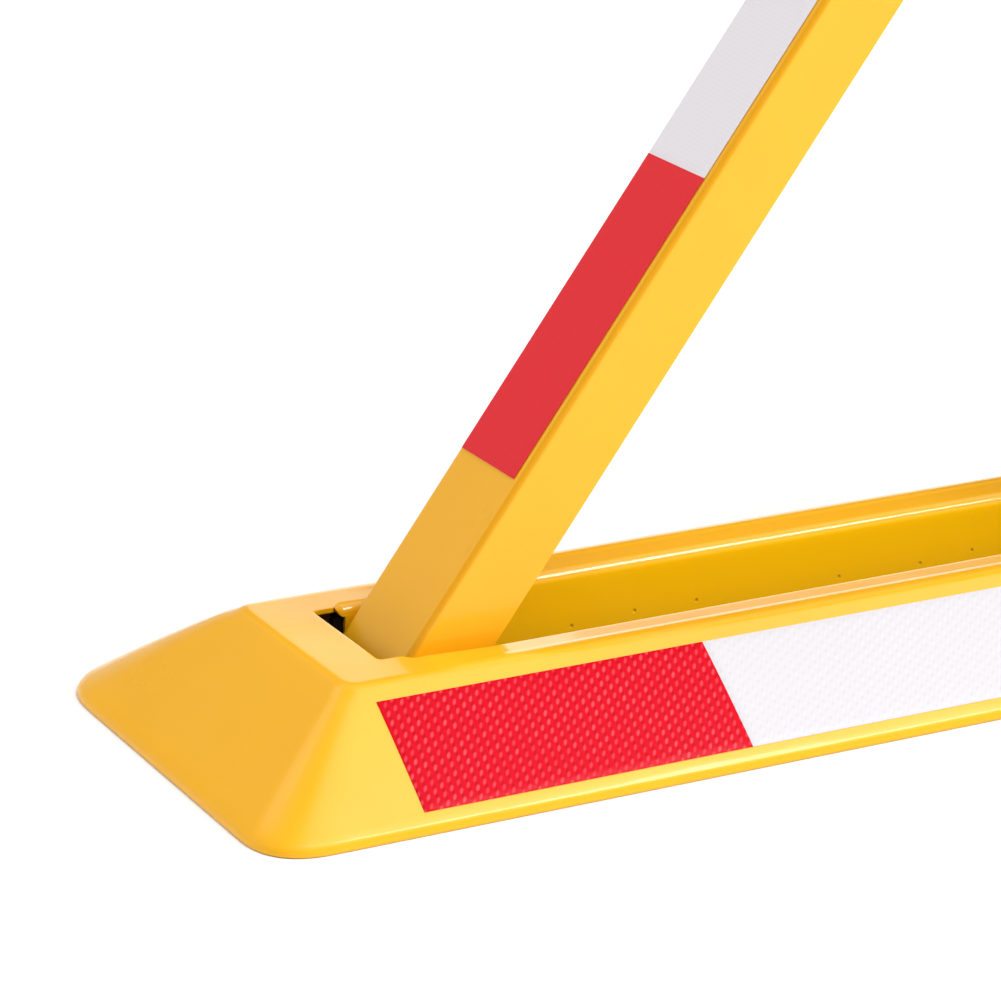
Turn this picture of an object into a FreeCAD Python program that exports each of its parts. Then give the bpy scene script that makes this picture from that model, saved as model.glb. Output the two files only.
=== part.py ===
import FreeCAD, Part
import Sketcher
import math
import os
import re

# Folding parking lock: a low pressed-steel base with a long slot, and two channel arms that stand
# up as a triangle and fold down into the slot, the narrow left arm first, the forked right arm over
# it. Millimetres, +X along the base, +Z up, origin at the centre of the base on the ground.

V = FreeCAD.Vector
doc = FreeCAD.newDocument("parking_lock")

# ---- driving dimensions -------------------------------------------------------------------------

DIMENSIONS = [
    ("base_length", 760.0, "pan, foot to foot"),
    ("base_width", 216.0, "pan at the ground"),
    ("base_height", 44.0, "ground to the flat top"),
    ("foot_radius", 24.2, "plan corner radius at the ground, near corners"),
    ("far_foot_radius", 33.5, "plan corner radius at the ground, far corners"),
    ("lip_height", 3.0, "upright edge that stands on the ground"),
    ("top_inset", 60.7, "ground edge to the top edge at each end"),
    ("top_width", 104.0, "flat top, side to side"),
    ("top_radius", 8.0, "plan corner radius of the flat top"),
    ("slope_bulge", 1.3, "how far the pressed slopes swell at mid height"),
    ("ridge_radius", 12.0, "bend between slope and top"),
    ("ridge_turn", 36.0, "angle that the ridge turns through, degrees"),
    ("sheet", 2.0, "pan sheet"),
    ("slope_sheet", 3.3, "pan sheet measured level through a slope"),
    ("slot_inset", 86.6, "ground edge to the slot's end"),
    ("slot_end_width", 64.0, "slot at its two relieved ends"),
    ("relief_length", 15.0, "from the slot's end to the start of its flanges"),
    ("slot_width", 61.0, "between the flanges"),
    ("flange_foot", 10.0, "flange's lower edge above the ground"),
    ("roll_radius", 5.0, "outside bend where the top turns down into the slot"),
    ("bead_offset", 40.5, "centre line to the pressed line along each rail"),
    ("bead_radius", 2.2, "section radius of the pressed line"),
    ("bead_depth", 0.9, "depth of the pressed line"),
    ("tray_length", 564.0, "floor channel"),
    ("tray_wall", 2.5, "floor channel side"),
    ("tray_floor", 3.0, "floor channel bottom"),
    ("tray_height", 38.0, "floor channel, ground to rim"),
    ("anchor_radius", 6.5, "ground anchor hole"),
    ("anchor_outer", 340.0, "spacing of the outer pair of anchor holes"),
    ("anchor_inner", 120.0, "spacing of the inner pair of anchor holes"),
    ("pivot_span", 538.8, "left pivot to right pivot"),
    ("pivot_height", 22.5, "pivot line above the ground"),
    ("pivot_radius", 5.0, "pivot bolt shank"),
    ("running_gap", 0.05, "radial play of the arms on their bolts"),
    ("sleeve_radius", 8.0, "outside of the pivot sleeve"),
    ("doubler_length", 40.0, "pivot doubler plate"),
    ("doubler_sheet", 4.0, "pivot doubler plate"),
    ("washer_radius", 10.0, "pivot washer"),
    ("washer_sheet", 2.0, "pivot washer"),
    ("hex_radius", 9.8, "bolt head and nut, across corners / 2"),
    ("head_height", 6.4, "bolt head"),
    ("nut_height", 8.0, "lock nut"),
    ("thread_end", 3.0, "bolt past its nut"),
    ("spacer_radius", 9.0, "spacer washers beside the arms"),
    ("side_play", 0.15, "spacer to arm and to flange"),
    ("arm_angle", 53.9, "raised arms above the ground"),
    ("arm_width", 52.0, "left arm"),
    ("arm_depth", 33.8, "left arm, web face to open edge"),
    ("arm_sheet", 2.8, "left arm"),
    ("arm_corner", 3.0, "both arms, outside bends"),
    ("arm_length", 451.0, "left arm, pivot to tip"),
    ("fork_width", 58.4, "right arm"),
    ("fork_sheet", 2.5, "right arm"),
    ("fork_top", 20.2, "right arm, pivot line to web face"),
    ("fork_under", 18.0, "right arm, pivot line to open edge"),
    ("fork_web_end", 415.0, "right arm, pivot to the end of the web"),
    ("fork_length", 478.0, "right arm, pivot to the ends of the ears"),
    ("tape_sheet", 0.3, "reflective tape"),
    ("base_tape_inset", 70.6, "ground edge to the first tape"),
    ("base_tape_length", 154.7, "one colour of tape on the base"),
    ("base_tape_low", 7.4, "tape's lower edge above the ground"),
    ("base_tape_high", 38.9, "tape's upper edge above the ground"),
    ("arm_tape_start", 96.0, "pivot to the first tape"),
    ("arm_tape_length", 148.0, "one colour of tape on an arm"),
    ("arm_tape_width", 44.0, "tape across an arm"),
    ("arm_tape_near", 21.6, "arm's middle plane to the tape's near edge"),
    ("pad_length", 40.0, "rubber rest pad"),
    ("pad_height", 2.2, "rubber rest pad"),
    ("pad_offset", 115.0, "centre to each rest pad"),
    ("gusset_sheet", 3.0, "support gusset"),
    ("gusset_gap", 1.2, "gusset to the pan"),
    ("gusset_outer", 225.0, "centre to the outer gussets"),
    ("gusset_inner", 95.0, "centre to the inner gussets"),
    ("gusset_shoulder", 7.0, "gusset's top corner past the edge of the flat top"),
    ("lock_place", 424.0, "left pivot to the lock's axis"),
    ("barrel_radius", 9.0, "lock barrel"),
    ("barrel_inner", 6.05, "bore of the lock barrel"),
    ("barrel_foot", -5.0, "inner end of the barrel, from the pivot line"),
    ("plug_radius", 6.0, "turning plug"),
    ("crank_radius", 8.0, "disc on the plug's inner end"),
    ("plug_sink", 0.2, "plug's outer face below the arm's web face"),
    ("key_width", 8.0, "keyway"),
    ("key_sheet", 1.4, "keyway"),
    ("key_depth", 14.0, "keyway"),
    ("disc_foot", -7.6, "crank disc's inner face, from the pivot line"),
    ("disc_height", 2.3, "crank disc"),
    ("crank_throw", 3.0, "plug axis to crank pin"),
    ("pin_radius", 2.0, "crank pin"),
    ("pin_foot", -14.3, "crank pin's end, from the pivot line"),
    ("pin_gap", 0.4, "crank pin to the slot it drives"),
    ("bolt_place", 443.0, "left pivot to the lock bolt"),
    ("bolt_level", -8.0, "lock bolt, from the pivot line"),
    ("bolt_near", -16.0, "near end of the bolt's bar at rest, from the middle plane"),
    ("bolt_length", 28.0, "bolt's bar"),
    ("bolt_width", 8.0, "bolt's bar"),
    ("bolt_foot", -14.5, "bolt's lower face, from the pivot line"),
    ("bolt_top", -4.2, "top of the bolt's bar, from the pivot line"),
    ("tongue_near", -3.5, "near side of the bolt's tongue at rest, from the middle plane"),
    ("tongue_width", 9.6, "bolt's tongue"),
    ("tongue_height", 6.5, "bolt's tongue"),
    ("tongue_run", 7.5, "room for the tongue on its near side"),
    ("way_gap", 0.3, "bolt and crank to their ways in the housing"),
    ("nose_radius", 3.5, "round nose of the lock bolt"),
    ("nose_rest", 0.5, "nose below the arm's side face at rest"),
    ("nose_gap", 0.3, "lock bolt nose to its holes"),
    ("housing_start", 408.0, "lock housing, from the pivot"),
    ("housing_end", 448.6, "lock housing, from the pivot"),
    ("housing_under", 14.9, "lock housing below the pivot line"),
    ("rivet_radius", 2.0, "lock rivets"),
    ("rivet_grip", 4.0, "lock rivets, inside the arm's sides"),
    ("rivet_inset", 6.0, "housing's start to the rivets"),
    ("rivet_high", 6.0, "upper rivets, from the pivot line"),
    ("rivet_low", -9.0, "lower rivets, from the pivot line"),
    ("screw_radius", 1.5, "cover screws"),
    ("screw_length", 9.0, "cover screws, shank"),
    ("screw_head", 3.0, "cover screws, head radius"),
    ("screw_head_height", 1.0, "cover screws"),
    ("screw_recess", 0.2, "screw heads below the cover"),
    ("screw_socket", 1.2, "hexagon socket, across corners / 2"),
    ("screw_inset", 4.0, "housing's start to the first screws"),
    ("screw_pitch", 21.0, "first screws to the second"),
    ("screw_side", 17.0, "screws, from the middle plane"),
    ("slip", 0.1, "fit of the lock housing in the arm"),
]

sheet = doc.addObject("Spreadsheet::Sheet", "dims")
for row, (alias, value, meaning) in enumerate(DIMENSIONS, 1):
    sheet.set(f"A{row}", alias)
    sheet.set(f"B{row}", str(value))
    sheet.setAlias(f"B{row}", alias)
    sheet.set(f"C{row}", meaning)
doc.recompute()
ALIASES = {alias for alias, value, meaning in DIMENSIONS}


def formula(text):
    """Turns 'arm_width / 2' into 'dims.arm_width / 2'."""
    return re.sub(r"[a-z_]+",
                  lambda word: ("dims." if word.group() in ALIASES else "") + word.group(), text)


def bind(item, path, text):
    item.setExpression(path, formula(text))


# ---- solids from Part primitives ----------------------------------------------------------------

UPRIGHT = FreeCAD.Rotation()
ALONG_Y = FreeCAD.Rotation(V(0, 0, 1), V(0, 1, 0))


def place(item, position, rotation=UPRIGHT):
    item.Placement = FreeCAD.Placement(V(), rotation)
    for axis, text in zip("xyz", position):
        bind(item, f"Placement.Base.{axis}", text)
    return item


def box(name, low, size):
    item = doc.addObject("Part::Box", name)
    for side, text in zip(("Length", "Width", "Height"), size):
        bind(item, side, text)
    return place(item, low)


def cylinder(name, start, radius, length, rotation=ALONG_Y):
    item = doc.addObject("Part::Cylinder", name)
    bind(item, "Radius", radius)
    bind(item, "Height", length)
    return place(item, start, rotation)


def hexagon(name, start, radius, length, rotation=ALONG_Y):
    item = doc.addObject("Part::Prism", name)
    item.Polygon = 6
    bind(item, "Circumradius", radius)
    bind(item, "Height", length)
    return place(item, start, rotation)


def cut(name, base, tool):
    item = doc.addObject("Part::Cut", name)
    item.Base = base
    item.Tool = tool
    return item


def gather(kind, name, pieces):
    item = doc.addObject(kind, name)
    setattr(item, "Links" if kind == "Part::Compound" else "Shapes", pieces)
    return item


def fuse(name, *pieces):
    return gather("Part::MultiFuse", name, list(pieces))


def common(name, *pieces):
    return gather("Part::MultiCommon", name, list(pieces))


def group(name, pieces):
    return gather("Part::Compound", name, pieces)


def ring(name, start, outer, inner, length):
    """A washer, spacer or sleeve along Y."""
    return cut(name, cylinder(name + "_outside", start, outer, length),
               cylinder(name + "_hole", start, inner, length))


# ---- PartDesign bodies ---------------------------------------------------------------------------

# A scratch box, not a piece of the lock: its placement works formulas out for number().
gauge = doc.addObject("Part::Box", "gauge")


def new_body(name):
    return doc.addObject("PartDesign::Body", name)


def origin_plane(body, role):
    return next(item for item in body.Origin.OriginFeatures if item.Role == role)


def new_sketch(body, name, role, offset="0"):
    sketch = body.newObject("Sketcher::SketchObject", name)
    sketch.AttachmentSupport = (origin_plane(body, role), [""])
    sketch.MapMode = "FlatFace"
    bind(sketch, "AttachmentOffset.Base.z", offset)
    return sketch


def constrain(sketch, *arguments):
    """Adds one constraint; a text value at the end is bound as a formula."""
    if isinstance(arguments[-1], str):
        index = sketch.addConstraint(Sketcher.Constraint(*arguments[:-1], number(arguments[-1])))
        bind(sketch, f"Constraints[{index}]", arguments[-1])
    else:
        sketch.addConstraint(Sketcher.Constraint(*arguments))


def number(text):
    """The value of a formula now, for the first guess of a sketch and for choosing edges."""
    bind(gauge, "Placement.Base.x", text)
    gauge.recompute()
    return gauge.Placement.Base.x


def rectangle(body, name, role, low, size, offset="0"):
    """A rectangle whose low corner and size are formulas."""
    sketch = new_sketch(body, name, role, offset)
    x, y = number(low[0]), number(low[1])
    wide, high = number(size[0]), number(size[1])
    corners = [V(x, y, 0), V(x + wide, y, 0), V(x + wide, y + high, 0), V(x, y + high, 0)]
    for start, end in zip(corners, corners[1:] + corners[:1]):
        sketch.addGeometry(Part.LineSegment(start, end))
    for line in range(4):
        constrain(sketch, "Coincident", line, 2, (line + 1) % 4, 1)
    for line in (0, 2):
        constrain(sketch, "Horizontal", line)
    for line in (1, 3):
        constrain(sketch, "Vertical", line)
    constrain(sketch, "DistanceX", 0, 1, 0, 2, size[0])
    constrain(sketch, "DistanceY", 1, 1, 1, 2, size[1])
    constrain(sketch, "DistanceX", -1, 1, 0, 1, low[0])
    constrain(sketch, "DistanceY", -1, 1, 0, 1, low[1])
    return sketch


def rounded_rectangle(body, name, offset, length, width, near_radius, far_radius):
    """A centred level rectangle at a height, with rounder corners on its far side."""
    sketch = new_sketch(body, name, "XY_Plane", offset)
    half_x, half_y = number(length) / 2, number(width) / 2
    near_r, far_r = number(near_radius), number(far_radius)
    corners = [(half_x - far_r, half_y - far_r, 0, far_r), (far_r - half_x, half_y - far_r, 90, far_r),
               (near_r - half_x, near_r - half_y, 180, near_r),
               (half_x - near_r, near_r - half_y, 270, near_r)]
    arcs = []
    for x, y, start, radius in corners:
        circle = Part.Circle(V(x, y, 0), V(0, 0, 1), radius)
        arcs.append(Part.ArcOfCircle(circle, math.radians(start), math.radians(start + 90)))
    for index, arc in enumerate(arcs):
        sketch.addGeometry(arc)
        following = arcs[(index + 1) % 4]
        sketch.addGeometry(Part.LineSegment(arc.EndPoint, following.StartPoint))
    far_line, left_line, near_line, right_line = 1, 3, 5, 7
    for index in range(4):
        arc, line, following = 2 * index, 2 * index + 1, (2 * index + 2) % 8
        constrain(sketch, "Tangent", arc, 2, line, 1)
        constrain(sketch, "Tangent", line, 2, following, 1)
    constrain(sketch, "Horizontal", near_line)
    for line in (left_line, right_line):
        constrain(sketch, "Vertical", line)
    constrain(sketch, "Equal", 0, 2)
    constrain(sketch, "Equal", 4, 6)
    constrain(sketch, "Radius", 0, far_radius)
    constrain(sketch, "Radius", 4, near_radius)
    constrain(sketch, "DistanceX", far_line, 2, far_line, 1, f"{length} - 2 * ({far_radius})")
    constrain(sketch, "DistanceY", left_line, 2, left_line, 1,
              f"{width} - ({near_radius}) - ({far_radius})")
    constrain(sketch, "Symmetric", far_line, 1, far_line, 2, -2)  # level, and centred on Y
    constrain(sketch, "DistanceY", -1, 1, far_line, 1, f"({width}) / 2")
    return sketch


def pad(body, sketch, length, feature="PartDesign::Pad", reverse=False):
    item = body.newObject(feature, sketch.Name + "_" + feature.split("::")[1].lower())
    item.Profile = sketch
    item.Reversed = reverse
    bind(item, "Length", length)
    body.Tip = item
    return item


def pocket(body, sketch, length, reverse=False):
    return pad(body, sketch, length, "PartDesign::Pocket", reverse)


def loft(body, feature, sections):
    item = body.newObject(feature, sections[0].Name + "_loft")
    item.Profile = sections[0]
    item.Sections = sections[1:]
    item.Ruled = True
    body.Tip = item
    return item


def fillet(body, name, radius, chosen):
    """Rounds the edges of the body's tip that the test chooses."""
    doc.recompute()
    base = body.Tip
    edges = [f"Edge{i}" for i, edge in enumerate(base.Shape.Edges, 1) if chosen(edge.BoundBox)]
    item = body.newObject("PartDesign::Fillet", name)
    item.Base = (base, edges)
    bind(item, "Radius", radius)
    body.Tip = item
    return item


def near(value, text):
    return abs(value - number(text)) < 0.05


# ---- base pan ------------------------------------------------------------------------------------

def corner_radii(share, more="0"):
    """Near and far plan corner radii at a share of the way from the ground edge to the flat top."""
    return [f"{foot} + (top_radius - {foot}) * {share} + {more}"
            for foot in ("foot_radius", "far_foot_radius")]


def outline_at(body, name, height, side_inset, end_inset, radii, skin):
    """A level outline of the pan, pulled in from the ground outline at its sides and ends."""
    return rounded_rectangle(body, name, height, f"base_length - 2 * ({end_inset}) + 2 * {skin}",
                             f"base_width - 2 * ({side_inset}) + 2 * {skin}",
                             *[f"{radius} + {skin}" for radius in radii])


def outer_form(body, name, skin="0"):
    """The pan's outside as a solid, or that solid grown by a skin that tapes are cut from: an
    upright lip, a soft turn, the swollen slope, and a round ridge that ends level at the top."""
    foot = corner_radii("0")
    pad(body, outline_at(body, name + "_lip", "0", "0", "0", foot, skin), "lip_height - 1")
    side_run, end_run = "(base_width / 2 - top_width / 2)", "top_inset"
    sections = [outline_at(body, name + "_turn", "lip_height - 1", "0", "0", foot, skin),
                outline_at(body, name + "_turn_end", "lip_height", "0.3", "0.3", foot, skin)]
    for share in ("0.05", "0.16", "0.27", "0.38", "0.5", "0.62", "0.73", "0.84", "0.93"):
        swell = f"4 * slope_bulge * {share} * (1 - {share})"
        sections.append(outline_at(
            body, f"{name}_slope_{share[2:]}", f"lip_height + (base_height - lip_height) * {share}",
            f"{side_run} * {share} - {swell}", f"{end_run} * {share} - {swell}",
            corner_radii(share), skin))
    for index, share in enumerate(("0.75", "0.5", "0.25", "0")):
        drop = f"ridge_radius * (1 - cos(ridge_turn * {share}))"
        spread = f"(ridge_radius * sin(ridge_turn * {share}) - ridge_radius * tan(ridge_turn / 2))"
        sections.append(outline_at(
            body, f"{name}_ridge_{index}", f"base_height - {drop}", f"{side_run} - {spread}",
            f"{end_run} - {spread}", corner_radii("1", spread), skin))
    loft(body, "PartDesign::AdditiveLoft", sections)


def inner_form(body):
    """The hollow under the sheet: an upright foot, then slopes one sheet inside the outer ones."""
    foot_radii = corner_radii("0", "0 - sheet")
    foot = rounded_rectangle(body, "hollow_lip", "0", "base_length - 2 * sheet",
                             "base_width - 2 * sheet", *foot_radii)
    pocket(body, foot, "lip_height - 1", reverse=True)
    sections = [
        rounded_rectangle(body, "hollow_foot", "lip_height - 1", "base_length - 2 * sheet",
                          "base_width - 2 * sheet", *foot_radii),
        rounded_rectangle(body, "hollow_middle", "lip_height / 2 + base_height / 2 - 1.5",
                          "base_length - top_inset + 2 * slope_bulge - 2 * sheet",
                          "base_width / 2 + top_width / 2 + 2 * slope_bulge - 2 * sheet",
                          *corner_radii("0.5", "0 - 1")),
        rounded_rectangle(body, "hollow_top", "base_height - sheet",
                          "base_length - 2 * top_inset - 1", "top_width - 1",
                          *corner_radii("1", "0 - 1")),
    ]
    loft(body, "PartDesign::SubtractiveLoft", sections)


def slot_flanges(body):
    """Two walls hanging from the top, and the slot cut between them with relieved ends."""
    flange_length = "base_length - 2 * slot_inset - 2 * relief_length"
    flange_start = "slot_inset + relief_length - base_length / 2"
    for side, low in (("near", "0 - slot_width / 2 - sheet"), ("far", "slot_width / 2")):
        wall = rectangle(body, side + "_flange", "XY_Plane", (flange_start, low),
                         (flange_length, "sheet"), "flange_foot")
        pad(body, wall, "base_height - flange_foot - sheet / 2")
    slot = rectangle(body, "slot", "XY_Plane", ("slot_inset - base_length / 2", "0 - slot_width / 2"),
                     ("base_length - 2 * slot_inset", "slot_width"), "base_height")
    pocket(body, slot, "base_height")
    for side, low in (("left", "slot_inset - base_length / 2"),
                      ("right", "base_length / 2 - slot_inset - relief_length")):
        relief = rectangle(body, side + "_relief", "XY_Plane", (low, "0 - slot_end_width / 2"),
                           ("relief_length", "slot_end_width"), "base_height")
        pocket(body, relief, "base_height")


ALONG_X = FreeCAD.Rotation(V(0, 0, 1), V(1, 0, 0))


def corner_bar(name, start_x, length, low, size, axis, radius):
    """A square bar along X with one round hollow edge: low and size in YZ, and the hollow's axis."""
    bar = box(name + "_bar", (start_x, low[0], low[1]), (length, size, size))
    return cut(name, bar, cylinder(name + "_round", (start_x, axis[0], axis[1]), radius, length, ALONG_X))


def pan():
    body = new_body("pan_body")
    outer_form(body, "form")
    inner_form(body)
    slot_flanges(body)
    slot_start, slot_length = "slot_inset - base_length / 2", "base_length - 2 * slot_inset"
    flange_start = slot_start + " + relief_length"
    flange_length = slot_length + " - 2 * relief_length"
    roll_axis = "slot_width / 2 + roll_radius"
    throat_axis = "slot_width / 2 + sheet + roll_radius / 2"
    rolls, throats, beads = [], [], []
    for side, sign in (("near", "0 - "), ("far", "0 + ")):
        inner = "0 - slot_width / 2 - roll_radius" if side == "near" else "slot_width / 2 - 1"
        rolls.append(corner_bar(side + "_roll", slot_start, slot_length,
                                (inner, "base_height - roll_radius"), "roll_radius + 1",
                                (f"{sign}({roll_axis})", "base_height - roll_radius"), "roll_radius"))
        outer = f"0 - ({throat_axis})" if side == "near" else "slot_width / 2 + sheet"
        throats.append(corner_bar(side + "_throat", flange_start, flange_length,
                                  (outer, "base_height - sheet - roll_radius / 2"), "roll_radius / 2",
                                  (f"{sign}({throat_axis})", "base_height - sheet - roll_radius / 2"),
                                  "roll_radius / 2"))
        beads.append(cylinder(side + "_bead", (flange_start, f"{sign}bead_offset",
                                               "base_height + bead_radius - bead_depth"),
                              "bead_radius", flange_length, ALONG_X))
    return cut("base_pan", fuse("pan_solid", body, *throats),
               fuse("pan_cuts", *rolls, *beads, *pivot_holes("pan", "pivot_radius + 0.2")))


def pivot_holes(name, radius):
    holes = []
    for side, x in (("left", "0 - pivot_span / 2"), ("right", "pivot_span / 2")):
        holes.append(cylinder(f"{name}_{side}_hole", (x, "0 - slot_width", "pivot_height"),
                              radius, "2 * slot_width"))
    return holes


# ---- floor channel and what is fixed to it ---------------------------------------------------------

def floor_channel():
    half_width = "slot_width / 2 + sheet + tray_wall"
    block = box("tray_block", ("0 - tray_length / 2", "0 - slot_width / 2 - sheet - tray_wall", "0"),
                ("tray_length", f"2 * ({half_width})", "tray_height"))
    hollow = box("tray_hollow", ("0 - tray_length / 2", "0 - slot_width / 2 - sheet", "tray_floor"),
                 ("tray_length", "slot_width + 2 * sheet", "tray_height"))
    anchors = []
    for index, x in enumerate(("anchor_outer / 2", "0 - anchor_outer / 2", "anchor_inner / 2",
                               "0 - anchor_inner / 2")):
        anchors.append(cylinder(f"anchor_{index}", (x, "0", "0"), "anchor_radius", "tray_floor",
                                UPRIGHT))
    return cut("floor_channel", cut("tray_walls", block, hollow),
               fuse("tray_cuts", *anchors, *pivot_holes("tray", "pivot_radius + 0.2")))


def pivot_doublers():
    """A plate outside each channel side, round each pivot bolt."""
    plates = []
    face = "slot_width / 2 + sheet + tray_wall"
    for side, x in (("left", "0 - tray_length / 2 + 1"),
                    ("right", "tray_length / 2 - 1 - doubler_length")):
        for face_name, y in (("near", f"0 - {face.replace('+', '-')} - doubler_sheet"), ("far", face)):
            name = f"{side}_{face_name}_doubler"
            plate = box(name + "_plate", (x, y, "tray_floor"),
                        ("doubler_length", "doubler_sheet", "tray_height - tray_floor"))
            holes = fuse(name + "_holes", *pivot_holes(name, "pivot_radius + 0.2"))
            plates.append(cut(name, plate, holes))
    return group("pivot_doublers", plates)


OUTER_FACE = "slot_width / 2 + sheet + tray_wall + doubler_sheet"
BOLT_SEAT = OUTER_FACE + " + washer_sheet"


def pivot_bolt(name, x):
    seat = "0 - " + BOLT_SEAT.replace("+", "-")
    head = hexagon(name + "_head", (x, seat + " - head_height", "pivot_height"), "hex_radius",
                   "head_height")
    shank = cylinder(name + "_shank", (x, seat, "pivot_height"), "pivot_radius",
                     f"2 * ({BOLT_SEAT}) + nut_height + thread_end")
    return fuse(name, head, shank)


def pivot_nuts():
    nuts = []
    for side, x in (("left", "0 - pivot_span / 2"), ("right", "pivot_span / 2")):
        start = (x, BOLT_SEAT, "pivot_height")
        nut = hexagon(side + "_nut_block", start, "hex_radius", "nut_height")
        hole = cylinder(side + "_nut_hole", start, "pivot_radius + running_gap", "nut_height")
        nuts.append(cut(side + "_nut", nut, hole))
    return group("pivot_nuts", nuts)


def pivot_washers():
    washers = []
    for side, x in (("left", "0 - pivot_span / 2"), ("right", "pivot_span / 2")):
        for face, y in (("near", "0 - " + BOLT_SEAT.replace("+", "-")), ("far", OUTER_FACE)):
            washers.append(ring(f"{side}_{face}_washer", (x, y, "pivot_height"), "washer_radius",
                                "pivot_radius + 0.1", "washer_sheet"))
    return group("pivot_washers", washers)


def arm_spacers(name, x, width):
    """Two washers that fill the space between an arm and the slot's flanges."""
    length = f"slot_width / 2 - {width} / 2 - 2 * side_play"
    rings = []
    for face, y in (("near", "side_play - slot_width / 2"), ("far", f"{width} / 2 + side_play")):
        rings.append(ring(f"{name}_{face}", (x, y, "pivot_height"), "spacer_radius",
                          "pivot_radius + running_gap", length))
    return group(name, rings)


def support_gussets():
    """Upright plates that carry the pan's slopes when a wheel runs over them."""
    toward_far = FreeCAD.Rotation(V(1, 1, 1), 120)
    toward_near = FreeCAD.Rotation(V(0, 0, 1), 180).multiply(toward_far)
    plates = []
    for index, x in enumerate(("0 - gusset_outer", "0 - gusset_inner", "gusset_inner", "gusset_outer")):
        for face, rotation in (("far", toward_far), ("near", toward_near)):
            plate = doc.addObject("Part::Wedge", f"gusset_{face}_{index}")
            bind(plate, "Xmin", "slot_width / 2 + sheet + tray_wall")
            bind(plate, "Xmax", "base_width / 2 - slope_sheet - gusset_gap - 2 * sheet")
            bind(plate, "Ymin", "1")
            bind(plate, "Ymax", "tray_height - 1")
            bind(plate, "Zmin", "0 - gusset_sheet / 2")
            bind(plate, "Zmax", "gusset_sheet / 2")
            bind(plate, "X2min", "slot_width / 2 + sheet + tray_wall")
            bind(plate, "X2max", "top_width / 2 + gusset_shoulder - gusset_gap - slope_sheet")
            bind(plate, "Z2min", "0 - gusset_sheet / 2")
            bind(plate, "Z2max", "gusset_sheet / 2")
            plates.append(place(plate, (x, "0", "0"), rotation))
    return group("support_gussets", plates)


def rest_pads():
    pads = []
    for side, x in (("left", "0 - pad_offset - pad_length / 2"),
                    ("right", "pad_offset - pad_length / 2")):
        pads.append(box(side + "_pad", (x, "0 - arm_width / 2", "tray_floor"),
                        ("pad_length", "arm_width", "pad_height")))
    return group("rest_pads", pads)


# ---- base tapes ------------------------------------------------------------------------------------

def base_tape(name, face, places, skin, form):
    """Strips of tape that lie on one long slope: the skin over the pan's form, cut to length."""
    low_y = "0 - base_width" if face == "near" else "top_width / 2 - 2"
    strips = []
    for place_number in places:
        start = f"base_tape_inset - base_length / 2 + {place_number} * base_tape_length"
        window = box(f"{name}_window_{place_number}", (start, low_y, "base_tape_low"),
                     ("base_tape_length", "base_width - top_width / 2 + 2",
                      "base_tape_high - base_tape_low"))
        strips.append(cut(f"{name}_{place_number}",
                          common(f"{name}_skin_{place_number}", skin, window), form))
    return group(name, strips)


# ---- arms ------------------------------------------------------------------------------------------

def on_left_arm(item):
    """Puts a piece made along +X from the left pivot onto the raised left arm."""
    item.Placement = FreeCAD.Placement(V(), FreeCAD.Rotation(V(0, -1, 0), 30))
    bind(item, "Placement.Rotation.Angle", "arm_angle")
    bind(item, "Placement.Base.x", "0 - pivot_span / 2")
    bind(item, "Placement.Base.z", "pivot_height")
    return item


def on_right_arm(item):
    """Puts a piece made along +X from the right pivot onto the raised right arm, end for end."""
    item.Placement = FreeCAD.Placement(V(), FreeCAD.Rotation(V(0, 0, 1), 180))
    bind(item, "Placement.Rotation.Axis.x", "sin(arm_angle / 2)")
    bind(item, "Placement.Rotation.Axis.z", "cos(arm_angle / 2)")
    bind(item, "Placement.Base.x", "pivot_span / 2")
    bind(item, "Placement.Base.z", "pivot_height")
    return item


def channel(name, start, length, width, under, top, wall, corner):
    """A channel along +X, open below, with its two outside bends rounded."""
    body = new_body(name + "_body")
    outline = rectangle(body, name + "_outline", "YZ_Plane", (f"0 - {width} / 2", f"0 - {under}"),
                        (width, f"{top} + {under}"), start)
    pad(body, outline, length)
    fillet(body, name + "_bends", corner,
           lambda edge: (near(edge.ZMin, top) and near(edge.ZMax, top)
                         and edge.XLength > number(length) / 2))
    hollow = rectangle(body, name + "_hollow", "YZ_Plane", (f"{wall} - {width} / 2", f"0 - {under}"),
                       (f"{width} - 2 * {wall}", f"{top} + {under} - {wall}"), start)
    pocket(body, hollow, length, reverse=True)
    return body


def left_arm():
    half = "arm_depth / 2"
    bent = channel("left_channel", f"0 - {half}", f"arm_length + {half}", "arm_width", half, half,
                   "arm_sheet", "arm_corner")
    outline = fuse("left_outline",
                   box("left_run", ("0", "0 - arm_width / 2", f"0 - {half}"),
                       ("arm_length", "arm_width", "arm_depth")),
                   cylinder("left_tail", ("0", "0 - arm_width / 2", "0"), half, "arm_width"))
    holes = fuse("left_arm_holes",
                 cylinder("left_arm_pivot_hole", ("0", "0 - arm_width", "0"),
                          "pivot_radius + running_gap", "2 * arm_width"),
                 cylinder("left_arm_bolt_hole", ("bolt_place", "0 - arm_width", "bolt_level"),
                          "nose_radius + nose_gap", "arm_width"),
                 cylinder("left_arm_barrel_hole", ("lock_place", "0", "0"),
                          "barrel_radius + running_gap", "arm_depth", UPRIGHT),
                 *rivet_shapes("left_arm_rivet_hole", "running_gap"))
    return on_left_arm(cut("left_arm", common("left_blank", bent, outline), holes))


def rivet_shapes(name, gap):
    """Four flush rivets through the arm's sides into the lock housing."""
    shapes = []
    for side, y in (("near", "0 - arm_width / 2"), ("far", "arm_width / 2 - arm_sheet - rivet_grip")):
        for level in ("rivet_high", "rivet_low"):
            shapes.append(cylinder(f"{name}_{side}_{len(shapes)}",
                                   ("housing_start + rivet_inset", y, level),
                                   f"rivet_radius + {gap}", "arm_sheet + rivet_grip"))
    return shapes


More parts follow.
